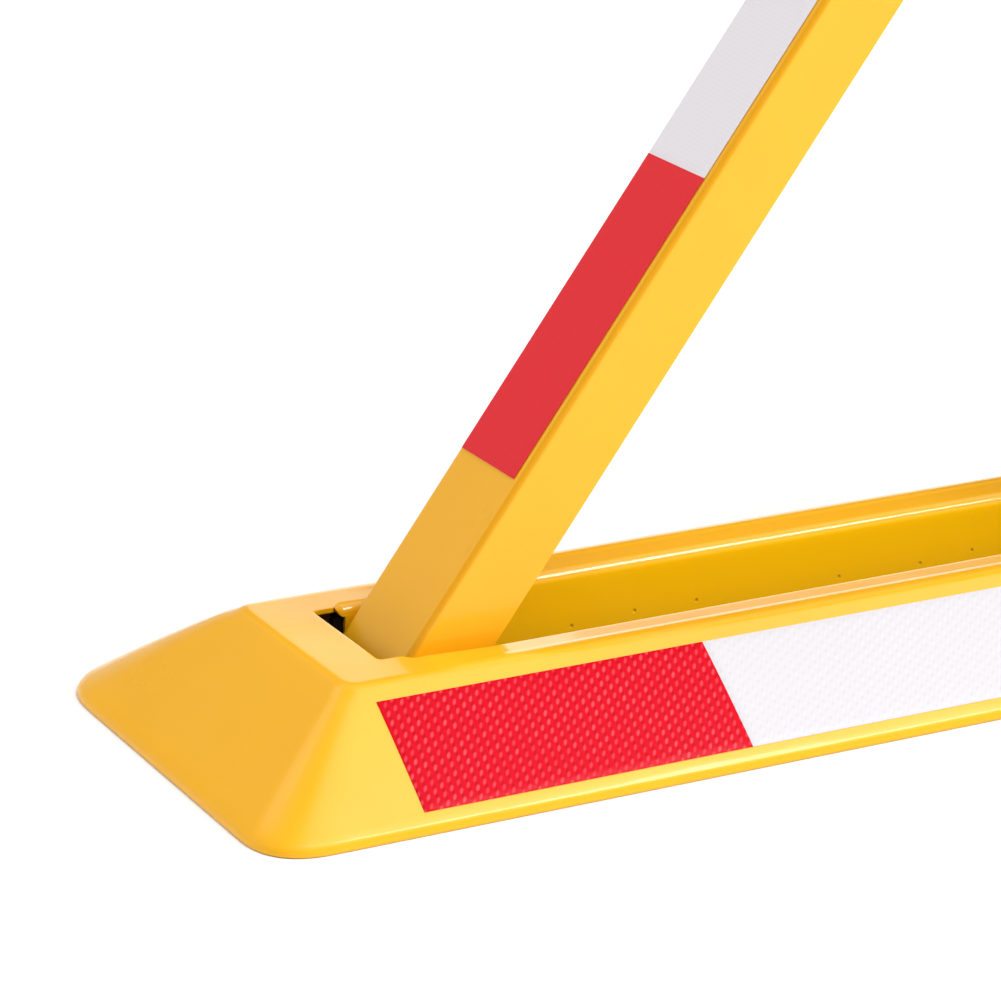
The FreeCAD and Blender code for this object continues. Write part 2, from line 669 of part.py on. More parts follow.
def right_arm():
    """The forked channel. It is turned end for end, so the side its two keeper holes are in, which
    the lock bolt's nose enters, is its own +Y side and the lock's -Y side."""
    bent = channel("right_channel", "0 - fork_under", "fork_length + fork_under", "fork_width",
                   "fork_under", "fork_top", "fork_sheet", "arm_corner")
    tip_radius, side = "(fork_top / 2 + fork_under / 2)", "0 - fork_width / 2"
    outline = fuse("right_outline",
                   box("right_run", ("0", side, "0 - fork_under"),
                       (f"fork_length - {tip_radius}", "fork_width", "fork_top + fork_under")),
                   cylinder("right_tail", ("0", side, "0"), "fork_top - fork_sheet", "fork_width"),
                   cylinder("right_tip", (f"fork_length - {tip_radius}", side,
                                          "fork_top / 2 - fork_under / 2"), tip_radius, "fork_width"))
    between = box("fork_mouth", ("fork_web_end", "fork_sheet - fork_width / 2", "0"),
                  ("fork_length", "fork_width - 2 * fork_sheet", "2 * fork_top"))
    pivot = cylinder("right_arm_pivot_hole", ("0", "0 - fork_width", "0"), "pivot_radius + running_gap",
                     "2 * fork_width")
    raised = ("pivot_span * cos(arm_angle) - bolt_place * cos(2 * arm_angle)"
              " + bolt_level * sin(2 * arm_angle)", "0",
              "bolt_place * sin(2 * arm_angle) - pivot_span * sin(arm_angle)"
              " + bolt_level * cos(2 * arm_angle)")
    folded = ("pivot_span - bolt_place", "0", "bolt_level")
    keepers = [cylinder(f"right_arm_keeper_{index}", place, "nose_radius + nose_gap", "fork_width")
               for index, place in enumerate((raised, folded))]
    return on_right_arm(cut("right_arm", common("right_blank", bent, outline),
                            fuse("right_arm_cuts", between, pivot, *keepers)))


def pivot_sleeve(name, inside_width):
    return ring(name, ("0", f"0 - ({inside_width}) / 2", "0"), "sleeve_radius",
                "pivot_radius + running_gap", inside_width)


def arm_tape(name, place_number, level):
    return box(name, (f"arm_tape_start + {place_number} * arm_tape_length", "0 - arm_tape_near", level),
               ("arm_tape_length", "arm_tape_width", "tape_sheet"))


# ---- lock in the left arm's tip -----------------------------------------------------------------------

HOUSING_HALF = "arm_width / 2 - arm_sheet - slip"
WEB_INSIDE = "arm_depth / 2 - arm_sheet"
SCREW_PLACES = [(x, y) for x in ("housing_start + screw_inset",
                                 "housing_start + screw_inset + screw_pitch")
                for y in ("screw_side", "0 - screw_side")]


def lock_housing():
    side = f"0 - ({HOUSING_HALF})"
    block = box("housing_block", ("housing_start", side, "0 - housing_under"),
                ("housing_end - housing_start", f"2 * ({HOUSING_HALF})",
                 f"{WEB_INSIDE} + housing_under"))
    bolt_way = box("bolt_way", ("bolt_place - bolt_width / 2 - way_gap", side, "0 - housing_under"),
                   ("bolt_width + 2 * way_gap", f"2 * ({HOUSING_HALF})",
                    "housing_under + bolt_top + way_gap"))
    tongue_way = box("tongue_way", ("lock_place - crank_radius", "tongue_near - tongue_run",
                                    "0 - housing_under"),
                     ("bolt_place - lock_place + crank_radius", "tongue_run + tongue_width + way_gap",
                      "housing_under + bolt_foot + tongue_height + way_gap"))
    crank_way = cylinder("crank_way", ("lock_place", "0", "disc_foot - way_gap"),
                         "crank_radius + way_gap", "barrel_foot - disc_foot + way_gap", UPRIGHT)
    barrel_way = cylinder("barrel_way", ("lock_place", "0", "barrel_foot"),
                          "barrel_radius + running_gap", "arm_depth", UPRIGHT)
    screw_ways = [cylinder(f"screw_way_{index}", (x, y, "0 - housing_under"), "screw_radius + slip",
                           "screw_length", UPRIGHT) for index, (x, y) in enumerate(SCREW_PLACES)]
    return cut("lock_housing", block, fuse("housing_cavity", bolt_way, tongue_way, crank_way, barrel_way,
                                           *screw_ways, *rivet_shapes("rivet_way", "running_gap")))


def lock_barrel():
    start = ("lock_place", "0", "barrel_foot")
    length = "arm_depth / 2 - barrel_foot"
    return cut("lock_barrel", cylinder("barrel_outside", start, "barrel_radius", length, UPRIGHT),
               cylinder("barrel_bore", start, "barrel_inner", length, UPRIGHT))


def lock_plug():
    """The turning plug with its keyway, crank disc and crank pin; at rest the pin is 45 degrees round."""
    core = cylinder("plug_core", ("lock_place", "0", "disc_foot"), "plug_radius",
                    "arm_depth / 2 - disc_foot - plug_sink", UPRIGHT)
    disc = cylinder("plug_disc", ("lock_place", "0", "disc_foot"), "crank_radius", "disc_height", UPRIGHT)
    pin = cylinder("plug_pin", ("lock_place + crank_throw * cos(45)", "crank_throw * sin(45)", "pin_foot"),
                   "pin_radius", "disc_foot + disc_height - pin_foot", UPRIGHT)
    keyway = box("keyway", ("lock_place - key_width / 2", "0 - key_sheet / 2", "arm_depth / 2 - key_depth"),
                 ("key_width", "key_sheet", "key_depth"))
    return cut("lock_plug", fuse("plug_solid", core, disc, pin), keyway)


def lock_bolt():
    """A bar with a round nose at its near end and a tongue whose slot the crank pin drives."""
    bar = box("bolt_bar", ("bolt_place - bolt_width / 2", "bolt_near", "bolt_foot"),
              ("bolt_width", "bolt_length", "bolt_top - bolt_foot"))
    nose = cylinder("bolt_nose", ("bolt_place", "nose_rest - arm_width / 2", "bolt_level"),
                    "nose_radius", "arm_width / 2 + bolt_near")
    tongue = box("bolt_tongue", ("lock_place - pin_radius", "tongue_near", "bolt_foot"),
                 ("bolt_place - lock_place", "tongue_width", "tongue_height"))
    slot = box("bolt_slot", ("lock_place - pin_gap", "crank_throw * sin(45) - pin_radius - pin_gap",
                             "bolt_foot - 1"),
               ("crank_throw + pin_radius + 2 * pin_gap", "2 * pin_radius + 2 * pin_gap",
                "tongue_height + 2"))
    return cut("lock_bolt", fuse("bolt_solid", bar, nose, tongue), slot)


def lock_cover():
    side = f"0 - ({HOUSING_HALF})"
    plate = box("cover_plate", ("housing_start", side, "0 - arm_depth / 2"),
                ("housing_end - housing_start", f"2 * ({HOUSING_HALF})", "arm_depth / 2 - housing_under"))
    holes = []
    for index, (x, y) in enumerate(SCREW_PLACES):
        face = (x, y, "0 - arm_depth / 2")
        holes.append(cylinder(f"cover_hole_{index}", face, "screw_radius + slip",
                              "arm_depth - 2 * housing_under", UPRIGHT))
        holes.append(cylinder(f"cover_seat_{index}", face, "screw_head + slip",
                              "screw_recess + screw_head_height", UPRIGHT))
    return cut("lock_cover", plate, fuse("cover_holes", *holes))


def lock_screws():
    screws = []
    for index, (x, y) in enumerate(SCREW_PLACES):
        start = (x, y, "screw_recess - arm_depth / 2")
        head = cylinder(f"screw_head_{index}", start, "screw_head", "screw_head_height", UPRIGHT)
        shank = cylinder(f"screw_shank_{index}", start, "screw_radius", "screw_length", UPRIGHT)
        socket = hexagon(f"screw_socket_{index}", start, "screw_socket", "0.8 * screw_head_height",
                         UPRIGHT)
        screws.append(cut(f"screw_{index}", fuse(f"screw_solid_{index}", head, shank), socket))
    return group("lock_screws", screws)


def arm_end_cap():
    side = f"0 - ({HOUSING_HALF})"
    return box("end_cap_plate", ("housing_end + slip", side, "0 - arm_depth / 2"),
               ("arm_length - housing_end - slip", f"2 * ({HOUSING_HALF})",
                f"{WEB_INSIDE} + arm_depth / 2"))


# ---- the assembly ------------------------------------------------------------------------------------

NODES = []


def node(name, item):
    item.Label = name
    NODES.append(item)


form_body = new_body("tape_form")
outer_form(form_body, "tape_form")
skin_body = new_body("tape_skin")
outer_form(skin_body, "tape_skin", "tape_sheet")

node("base_pan", pan())
node("floor_channel", floor_channel())
node("pivot_doublers", pivot_doublers())
node("support_gussets", support_gussets())
node("rest_pads", rest_pads())
node("left_pivot_bolt", pivot_bolt("left_pivot_bolt", "0 - pivot_span / 2"))
node("right_pivot_bolt", pivot_bolt("right_pivot_bolt", "pivot_span / 2"))
node("pivot_nuts", pivot_nuts())
node("pivot_washers", pivot_washers())
node("left_arm_spacers", arm_spacers("left_arm_spacers", "0 - pivot_span / 2", "arm_width"))
node("right_arm_spacers", arm_spacers("right_arm_spacers", "pivot_span / 2", "fork_width"))
for side in ("near", "far"):
    for colour, places in (("red", (0, 2)), ("white", (1, 3))):
        name = f"{side}_tape_{colour}"
        node(name, base_tape(name, side, places, skin_body, form_body))

node("left_arm", left_arm())
node("left_pivot_sleeve", on_left_arm(pivot_sleeve("left_pivot_sleeve", "arm_width - 2 * arm_sheet")))
node("left_arm_tape_red",
     on_left_arm(group("left_arm_tape_red", [arm_tape("left_red", 0, "arm_depth / 2")])))
node("left_arm_tape_white",
     on_left_arm(group("left_arm_tape_white", [arm_tape("left_white", 1, "arm_depth / 2")])))
node("left_arm_end_cap", on_left_arm(group("left_arm_end_cap", [arm_end_cap()])))
node("lock_housing", on_left_arm(lock_housing()))
node("lock_barrel", on_left_arm(lock_barrel()))
node("lock_plug", on_left_arm(lock_plug()))
node("lock_bolt", on_left_arm(lock_bolt()))
node("lock_cover", on_left_arm(lock_cover()))
node("lock_screws", on_left_arm(lock_screws()))
node("lock_rivets", on_left_arm(group("lock_rivets", rivet_shapes("lock_rivet", "0"))))

node("right_arm", right_arm())
node("right_pivot_sleeve",
     on_right_arm(pivot_sleeve("right_pivot_sleeve", "fork_width - 2 * fork_sheet")))
node("right_arm_tape_red",
     on_right_arm(group("right_arm_tape_red", [arm_tape("right_red", 0, "fork_top")])))
node("right_arm_tape_white",
     on_right_arm(group("right_arm_tape_white", [arm_tape("right_white", 1, "fork_top")])))

doc.recompute()

# ---- checks and export ---------------------------------------------------------------------------------

for item in doc.Objects:
    if {"Invalid", "Error"} & set(item.State):
        raise RuntimeError(f"{item.Name} failed: {item.State}")
for item in NODES:
    if item.Shape.isNull() or not item.Shape.isValid() or not item.Shape.Solids:
        raise RuntimeError(f"{item.Label} has no valid solid")

os.makedirs("parts", exist_ok=True)
for item in NODES:
    item.Shape.exportStep(f"parts/{item.Label}.step")
    size = item.Shape.BoundBox
    print(f"{item.Label:22s} {len(item.Shape.Solids):2d} solids {item.Shape.Volume:11.0f} mm3 "
          f"x {size.XMin:7.1f}..{size.XMax:7.1f} y {size.YMin:6.1f}..{size.YMax:6.1f} "
          f"z {size.ZMin:6.1f}..{size.ZMax:6.1f}")
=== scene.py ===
import math

import bpy
from mathutils import Matrix, Vector


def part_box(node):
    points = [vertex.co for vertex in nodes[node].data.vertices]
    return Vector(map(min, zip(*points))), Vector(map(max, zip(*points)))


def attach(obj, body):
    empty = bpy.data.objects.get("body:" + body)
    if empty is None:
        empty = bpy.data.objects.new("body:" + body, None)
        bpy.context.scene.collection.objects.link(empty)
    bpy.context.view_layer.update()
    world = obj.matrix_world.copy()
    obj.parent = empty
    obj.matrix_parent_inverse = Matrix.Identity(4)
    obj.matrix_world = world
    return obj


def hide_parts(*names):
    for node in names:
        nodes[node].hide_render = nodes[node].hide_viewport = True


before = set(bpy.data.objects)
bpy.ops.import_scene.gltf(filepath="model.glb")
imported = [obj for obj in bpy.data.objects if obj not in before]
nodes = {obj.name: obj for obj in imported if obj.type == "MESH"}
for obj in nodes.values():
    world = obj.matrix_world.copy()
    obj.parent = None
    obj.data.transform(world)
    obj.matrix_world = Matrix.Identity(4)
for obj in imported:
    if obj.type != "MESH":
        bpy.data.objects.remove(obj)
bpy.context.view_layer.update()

MM = 0.001
scene = bpy.context.scene

# ---- sizes in millimetres ----------------------------------------------------------------------

pan_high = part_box("base_pan")[1]
HALF_LENGTH, HALF_WIDTH, HEIGHT = (size / MM for size in pan_high)
SHEET = 2.0
LIP = 3.0  # upright ground edge
FOOT_RADIUS, FAR_RADIUS, TOP_RADIUS = 24.2, 33.5, 8.0  # plan corners: near foot, far foot, top
END_RUN, SIDE_RUN = 60.7, HALF_WIDTH - 52.0  # level width of an end slope and of a side slope
BULGE = 1.3  # swell of the slopes at mid height
RIDGE, RIDGE_TURN = 12.0, math.radians(36)  # bend between a slope and the top
RIDGE_TANGENT = RIDGE * math.tan(RIDGE_TURN / 2)
FOOT_TURN = 5.0  # radius of the bend between a slope and the ground edge

SLOT_END, RELIEF_END = HALF_LENGTH - 86.6, HALF_LENGTH - 101.6  # ends of the slot and its flanges
SLOT_HALF, SLOT_CORNER = 30.5, 2.5
ROLL, FLANGE_FOOT = 5.0, 10.0  # a flange's bend and the height of its lower edge
CURL_LENGTH = 5.5  # length over which the rolled edge runs out
SHELF_EDGE, SHELF_RISE, SHELF_DROP = 47.0, 3.0, 0.35  # step beside the slot
SHELF_LEAN = math.radians(4)
SHELF_END, SHELF_FADE = 14.0, 45.0  # where the shelf ends, from the slot's end, and its fade
SETTLING = 20.0  # height over which a flange takes up the shelf's drop

TAPE_START, TAPE_LENGTH = 70.6 - HALF_LENGTH, 154.7
TAPE_FOOT, TAPE_TOP = 7.4, 38.9  # heights of a base tape's long edges
TAPE_SHEET, TAPE_LIFT, TAPE_BEVEL = 0.22, 0.25, 0.05

PIVOT_X, PIVOT_Z = 269.4, 22.5
ARM_ANGLE = math.radians(53.9)
ARM_BEND = 3.0
ARM_TAPE_START, ARM_TAPE_LENGTH = 96.0, 148.0
ARM_TAPE_NEAR, ARM_TAPE_EDGE = 21.6, 22.4  # long edges, from the arm's middle plane


# ---- meshes ------------------------------------------------------------------------------------

def make_object(name, points, faces, material):
    mesh = bpy.data.meshes.new(name)
    mesh.from_pydata([Vector(p) * MM for p in points], [], faces)
    mesh.materials.append(material)
    mesh.polygons.foreach_set("use_smooth", [True] * len(mesh.polygons))
    piece = bpy.data.objects.new(name, mesh)
    scene.collection.objects.link(piece)
    return piece


def thicken(piece, thickness, bevel):
    """Gives a sheet its thickness below the modelled face, and breaks its cut edges."""
    solid = piece.modifiers.new("thickness", "SOLIDIFY")
    solid.thickness = thickness * MM
    solid.offset = -1
    solid.use_even_offset = True
    edge = piece.modifiers.new("edges", "BEVEL")
    edge.width = bevel * MM
    edge.segments = 2
    edge.limit_method = "ANGLE"
    edge.angle_limit = math.radians(60)
    apply_modifiers(piece)
    piece.data.set_sharp_from_angle(angle=math.radians(40))


def apply_modifiers(piece):
    graph = bpy.context.evaluated_depsgraph_get()
    mesh = bpy.data.meshes.new_from_object(piece.evaluated_get(graph))
    piece.modifiers.clear()
    piece.data = mesh


def grid_faces(rows, columns):
    return [(r * columns + c, r * columns + c + 1, (r + 1) * columns + c + 1, (r + 1) * columns + c)
            for r in range(rows - 1) for c in range(columns - 1)]


def smooth_step(value):
    value = min(max(value, 0.0), 1.0)
    return value * value * (3 - 2 * value)


# ---- base pan ----------------------------------------------------------------------------------

LONG_STEPS, SHORT_STEPS, ARC_STEPS = 140, 16, 14  # points along each side and corner of an outline
END_CROWDING = 0.75  # how much closer together they are at a side's ends
FLAT_STEPS, RIDGE_STEPS, SLOPE_STEPS = 16, 6, 18  # outlines on the top, its bend and the slopes
RIDGE_FOOT, SLOPE_FOOT = 0.92, 0.032  # shares of the slope's height where it starts and ends
FOOT_LEVELS = (3.9, 3.3, 2.6, 1.9, 1.2, 0.6, 0.0)
ROLL_TURNS = (11, 22, 33, 44, 55, 66, 78, 90)
FLANGE_SHARES = (0.1, 0.3, 0.5, 0.7, 0.9, 1.0)
ROLL_NEEDS, FLANGE_NEEDS = 0.12, 0.999  # least curl at which the rolled edge and flange are there
PAN_BEVEL = 0.35

# A corner is a superellipse. Its reach is this much more than the radius of a round one that cuts
# off as much of the corner.
CORNER_POWER = 2.6
CORNER_REACH = (math.sqrt(2) - 1) / (math.sqrt(2) * (1 - 2 ** (-1 / CORNER_POWER)))


def slope_inset(share, run):
    """How far the pressed slope stands in from the ground edge at a share of its height."""
    return run * share - 4 * BULGE * share * (1 - share)


def slope_level(share):
    return LIP + (HEIGHT - LIP) * share


def slope_angle(share, run):
    return math.atan2(HEIGHT - LIP, run - 4 * BULGE * (1 - 2 * share))


def foot_inset(z, run):
    """How far the rounded foot under a slope stands in: an arc that runs smoothly into the slope and
    into the upright ground edge."""
    arc_foot = LIP - FOOT_TURN * math.tan((math.pi / 2 - slope_angle(0, run)) / 2)
    return FOOT_TURN - math.sqrt(FOOT_TURN ** 2 - max(0.0, z - arc_foot) ** 2)


def ring(half_x, half_y, radius, far_radius, z):
    """One level outline of the pan, anticlockwise from the near straight's left end."""
    reaches = {(x, y): CORNER_REACH * (far_radius if y > 0 else radius)
               for x in (-1, 1) for y in (-1, 1)}

    def centre(corner):
        reach = reaches[corner]
        return Vector((corner[0] * (half_x - reach), corner[1] * (half_y - reach)))

    def round_off(share):
        """A corner that turns slowly at its ends: share 0 to 1 from one straight to the next."""
        turn = math.radians(90 * share)
        return math.cos(turn) ** (2 / CORNER_POWER), math.sin(turn) ** (2 / CORNER_POWER)

    points = []
    sides = [((-1, -1), (1, -1), LONG_STEPS, -90), ((1, -1), (1, 1), SHORT_STEPS, 0),
             ((1, 1), (-1, 1), LONG_STEPS, 90), ((-1, 1), (-1, -1), SHORT_STEPS, 180)]
    for start, end, steps, facing in sides:
        out = Vector((math.cos(math.radians(facing)), math.sin(math.radians(facing))))
        first, last = (centre(corner) + out * reaches[corner] for corner in (start, end))
        for k in range(steps + 1):
            share = k / steps
            flat = first.lerp(last, share - END_CROWDING * math.sin(math.tau * share) / math.tau)
            points.append([flat.x, flat.y, z])
        onwards = Vector((-out.y, out.x))
        for k in range(1, ARC_STEPS):
            outward, onward = round_off(k / ARC_STEPS)
            turned = centre(end) + (out * outward + onwards * onward) * reaches[end]
            points.append([turned.x, turned.y, z])
    return points


def shelf(x, y):
    """Drop of the pressed shelf beside the slot: a soft step, then a lean towards the slot. It runs
    out towards the slot's ends."""
    inward = SHELF_EDGE - abs(y)
    across = SHELF_DROP * smooth_step(inward / SHELF_RISE) + max(0.0, inward) * math.tan(SHELF_LEAN)
    return across * smooth_step((SLOT_END - SHELF_END - abs(x)) / SHELF_FADE)


def pan_profile():
    """Half sizes, near and far corner radius and height of each outline, from the slot's edge to the
    ground."""
    levels = []
    slot_x, slot_y = SLOT_END, SLOT_HALF + ROLL
    flat_x, flat_y = HALF_LENGTH - END_RUN - RIDGE_TANGENT, HALF_WIDTH - SIDE_RUN - RIDGE_TANGENT
    flat_radius = TOP_RADIUS - RIDGE_TANGENT
    for k in range(FLAT_STEPS + 1):
        t = k / FLAT_STEPS
        radius = SLOT_CORNER + (flat_radius - SLOT_CORNER) * t
        levels.append((slot_x + (flat_x - slot_x) * t, slot_y + (flat_y - slot_y) * t,
                       radius, radius, HEIGHT))
    for k in range(1, RIDGE_STEPS + 1):
        turn = RIDGE_TURN * k / RIDGE_STEPS
        spread = RIDGE * math.sin(turn)
        radius = flat_radius + spread
        extra = (FAR_RADIUS - FOOT_RADIUS) * (1 - RIDGE_FOOT) * k / RIDGE_STEPS
        levels.append((flat_x + spread, flat_y + spread, radius, radius + extra,
                       HEIGHT - RIDGE * (1 - math.cos(turn))))
    for k in range(1, SLOPE_STEPS + 1):
        share = RIDGE_FOOT + (SLOPE_FOOT - RIDGE_FOOT) * k / SLOPE_STEPS
        levels.append((HALF_LENGTH - slope_inset(share, END_RUN),
                       HALF_WIDTH - slope_inset(share, SIDE_RUN),
                       FOOT_RADIUS + (TOP_RADIUS - FOOT_RADIUS) * share,
                       FAR_RADIUS + (TOP_RADIUS - FAR_RADIUS) * share, slope_level(share)))
    for z in FOOT_LEVELS:
        levels.append((HALF_LENGTH - foot_inset(z, END_RUN), HALF_WIDTH - foot_inset(z, SIDE_RUN),
                       FOOT_RADIUS, FAR_RADIUS, z))
    return levels


def curl(x):
    """How much of the rolled edge is there: all along the flanges, then running out at their ends."""
    return 1 - smooth_step((abs(x) - RELIEF_END) / CURL_LENGTH)


def slot_edge(points, faces, side, columns):
    """The rolled edge and the hanging flange below it, on one long side of the slot. The columns
    are the points of the slot's outline there, and a row has None where the edge has run out."""
    roll_rows = [(ROLL * math.sin(math.radians(a)), ROLL * (1 - math.cos(math.radians(a))))
                 for a in ROLL_TURNS]
    flange_rows = [(ROLL, ROLL + (HEIGHT - ROLL - FLANGE_FOOT) * share) for share in FLANGE_SHARES]
    above = columns
    for inward, drop in roll_rows + flange_rows:
        rolled = drop <= ROLL
        below = []
        for column in columns:
            x, y, z = points[column]
            there = curl(x)
            if there < (ROLL_NEEDS if rolled else FLANGE_NEEDS):
                below.append(None)
                continue
            sink = (HEIGHT - z) * (1 if rolled else max(0.0, 1 - (drop - ROLL) / SETTLING))
            points.append((x, y - side * inward * there, HEIGHT - drop * there - sink))
            below.append(len(points) - 1)
        for k in range(len(columns) - 1):
            quad = (above[k], above[k + 1], below[k + 1], below[k])
            if None not in quad:
                faces.append(quad)
        above = below


def pan_cover(material):
    """The pressed cover as one sheet: level outlines from the slot outwards, then the rolled edge
    and hanging flange on each long side of the slot."""
    points, faces = [], []
    rings = [ring(*level) for level in pan_profile()]
    count = len(rings[0])
    for index, outline in enumerate(rings):
        beside_slot = max(0.0, 1 - index / FLAT_STEPS)
        for x, y, z in outline:
            narrowing = 1 - beside_slot * (1 - curl(x)) * ROLL / (SLOT_HALF + ROLL)
            on_top = abs(z - HEIGHT) < 0.01
            points.append((x, y * narrowing, z - (shelf(x, y) if on_top else 0)))
    for level in range(len(rings) - 1):
        for k in range(count):
            a, b = level * count + k, level * count + (k + 1) % count
            faces.append((a, a + count, b + count, b))
    far_start = LONG_STEPS + SHORT_STEPS + 2 * ARC_STEPS
    for side, start in ((-1, 0), (1, far_start)):
        slot_edge(points, faces, side, [start + k for k in range(LONG_STEPS + 1)])
    piece = make_object("pan_cover", points, faces, material)
    thicken(piece, SHEET, PAN_BEVEL)
    return piece


# ---- tapes -------------------------------------------------------------------------------------

def slope_tape(name, side, starts, length, material):
    """Strips of tape lying on one long slope of the pan."""
    points, faces = [], []
    rows, columns = 14, 40
    low = (TAPE_FOOT - LIP) / (HEIGHT - LIP)
    high = (TAPE_TOP - LIP) / (HEIGHT - LIP)
    for start in starts:
        base = len(points)
        for r in range(rows):
            share = low + (high - low) * r / (rows - 1)
            steep = slope_angle(share, SIDE_RUN)
            y = HALF_WIDTH - slope_inset(share, SIDE_RUN) + TAPE_LIFT * math.sin(steep)
            z = slope_level(share) + TAPE_LIFT * math.cos(steep)
            for c in range(columns):
                points.append((start + length * c / (columns - 1), side * y, z))
        patch = grid_faces(rows, columns)
        if side > 0:
            patch = [face[::-1] for face in patch]
        faces += [tuple(base + v for v in face) for face in patch]
    piece = make_object(name, points, faces, material)
    thicken(piece, TAPE_SHEET, TAPE_BEVEL)
    return piece


def arm_tape(name, origin, along, out, side, start, level, wrap, material):
    """A strip on an arm's web face, level above the pivot line; side is 1 where the arm's own left
    is at +Y, -1 where it is at -Y. The left long edge may wrap a little onto the bend."""
    steps, columns, wrap_columns = 30, 12, 5
    width = ARM_TAPE_EDGE + ARM_TAPE_NEAR
    section = [(ARM_TAPE_EDGE - width * k / columns, level + TAPE_LIFT) for k in range(columns + 1)]
    if wrap:
        for k in range(1, wrap_columns + 1):
            turn = wrap * k / wrap_columns
            section.insert(0, (ARM_TAPE_EDGE + (ARM_BEND + TAPE_LIFT) * math.sin(turn),
                               level - ARM_BEND + (ARM_BEND + TAPE_LIFT) * math.cos(turn)))
    points = []
    for k in range(steps + 1):
        base = origin + along * (start + ARM_TAPE_LENGTH * k / steps)
        for y, z in section:
            points.append(base + Vector((0, side * y, 0)) + out * z)
    faces = [face[::-1] for face in grid_faces(steps + 1, len(section))]
    piece = make_object(name, points, faces, material)
    thicken(piece, TAPE_SHEET, TAPE_BEVEL)
    return piece


# ---- materials ---------------------------------------------------------------------------------

class Nodes:
    """Short names for building one material's node tree."""

    def __init__(self, name):
        self.material = bpy.data.materials.new(name)
        self.material.use_nodes = True
        self.tree = self.material.node_tree
        self.shader = self.tree.nodes["Principled BSDF"]

    def add(self, kind, inputs=None, **settings):
        node = self.tree.nodes.new(kind)
        for key, value in settings.items():
            setattr(node, key, value)
        for key, value in (inputs or {}).items():
            if isinstance(value, bpy.types.NodeSocket):
                self.tree.links.new(value, node.inputs[key])
            else:
                node.inputs[key].default_value = value
        return node

    def link(self, socket, target):
        self.tree.links.new(socket, self.shader.inputs[target])

    def place(self):
        return self.add("ShaderNodeTexCoord").outputs["Object"]

    def math(self, operation, a, b=0.0):
        return self.add("ShaderNodeMath", {0: a, 1: b}, operation=operation).outputs[0]

    def squares(self, a, b):
        """The sum of two squares."""
        return self.math("ADD", self.math("POWER", self.math("ABSOLUTE", a), 2.0),
                         self.math("POWER", self.math("ABSOLUTE", b), 2.0))

    def dot(self, place, axis):
        return self.add("ShaderNodeVectorMath", {0: place, 1: axis},
                        operation="DOT_PRODUCT").outputs["Value"]

    def split(self, vector):
        return self.add("ShaderNodeSeparateXYZ", {0: vector}).outputs

    def noise(self, place, scale, detail=2.0, rough=0.5):
        node = self.add("ShaderNodeTexNoise", {"Vector": place, "Scale": scale, "Detail": detail,
                                               "Roughness": rough})
        return node.outputs["Fac"]

    def remap(self, value, start, end, low=0.0, high=1.0, smooth=False):
        """The value's range from start to end, mapped to low to high and held there outside it."""
        node = self.add("ShaderNodeMapRange", {"Value": value, "From Min": start, "From Max": end,
                                               "To Min": low, "To Max": high},
                        interpolation_type="SMOOTHSTEP" if smooth else "LINEAR")
        return node.outputs[0]

    def mix(self, factor, a, b):
        node = self.add("ShaderNodeMix", {"Factor": factor}, data_type="RGBA")
        for key, value in (("A", a), ("B", b)):
            if isinstance(value, bpy.types.NodeSocket):
                self.tree.links.new(value, node.inputs[key])
            else:
                node.inputs[key].default_value = (*value, 1)
        return node.outputs["Result"]

    def bump(self, height, distance, strength=1.0):
        node = self.add("ShaderNodeBump", {"Height": height, "Distance": distance,
                                           "Strength": strength})
        self.link(node.outputs["Normal"], "Normal")

    def set(self, **values):
        for key, value in values.items():
            self.shader.inputs[key.replace("_", " ")].default_value = value


PAINT_LIGHT, PAINT_DEEP = (0.86, 0.425, 0.006), (0.83, 0.40, 0.005)
# Painted light: the trough colour stands in for the light bounced inside the trough, and the bend and
# dimple colours stand in for shade.
TROUGH_BOUNCE_LIGHT, BEND_SHADE, DIMPLE_SHADE = (0.98, 0.535, 0.002), (0.72, 0.32, 0.001), (0.30, 0.13, 0.001)
DIMPLE_PITCH, DIMPLE_RADIUS = 0.037, 0.0011  # metres


def trough_painted_light_and_dimples(n, place, colour, height):
    """Painted bounce light inside the trough: a deeper, more saturated colour there, as the light
    bounced between its walls gives it. A ragged row of spot-weld dimples along the hanging flanges,
    each dent darkened with painted shade."""
    axes = n.split(place)
    low = n.math("LESS_THAN", axes["Z"], (HEIGHT - ROLL * 0.8) * MM)
    inside_x = n.math("LESS_THAN", n.math("ABSOLUTE", axes["X"]), (RELIEF_END + 2) * MM)
    inside_y = n.math("LESS_THAN", n.math("ABSOLUTE", axes["Y"]), (SLOT_HALF + SHEET + 0.3) * MM)
    within = n.math("MULTIPLY", low, n.math("MULTIPLY", inside_x, inside_y))
    # Painted bounce light inside the trough.
    colour = n.mix(within, colour, TROUGH_BOUNCE_LIGHT)
    step = n.math("DIVIDE", axes["X"], DIMPLE_PITCH)
    lottery = n.add("ShaderNodeTexWhiteNoise", {"W": n.math("FLOOR", step)}, noise_dimensions="1D")
    jitter = n.split(lottery.outputs["Color"])
    middle = n.math("ADD", n.math("MULTIPLY", jitter["X"], 0.5), 0.25)
    across = n.math("MULTIPLY", n.math("SUBTRACT", n.math("FRACT", step), middle), DIMPLE_PITCH)
    level = n.math("ADD", n.math("MULTIPLY", jitter["Y"], 0.004), 0.0155)
    far = n.math("SQRT", n.squares(across, n.math("SUBTRACT", axes["Z"], level)))
    dimple = n.remap(far, DIMPLE_RADIUS * 0.4, DIMPLE_RADIUS, 1.0, 0.0, smooth=True)
    kept = n.math("GREATER_THAN", jitter["Z"], 0.35)
    dimple = n.math("MULTIPLY", n.math("MULTIPLY", dimple, within), kept)
    # Painted shade in each dimple's dent.
    return (n.mix(n.math("MULTIPLY", dimple, 0.45), colour, DIMPLE_SHADE),
            n.math("SUBTRACT", height, n.math("MULTIPLY", dimple, 0.0003)))


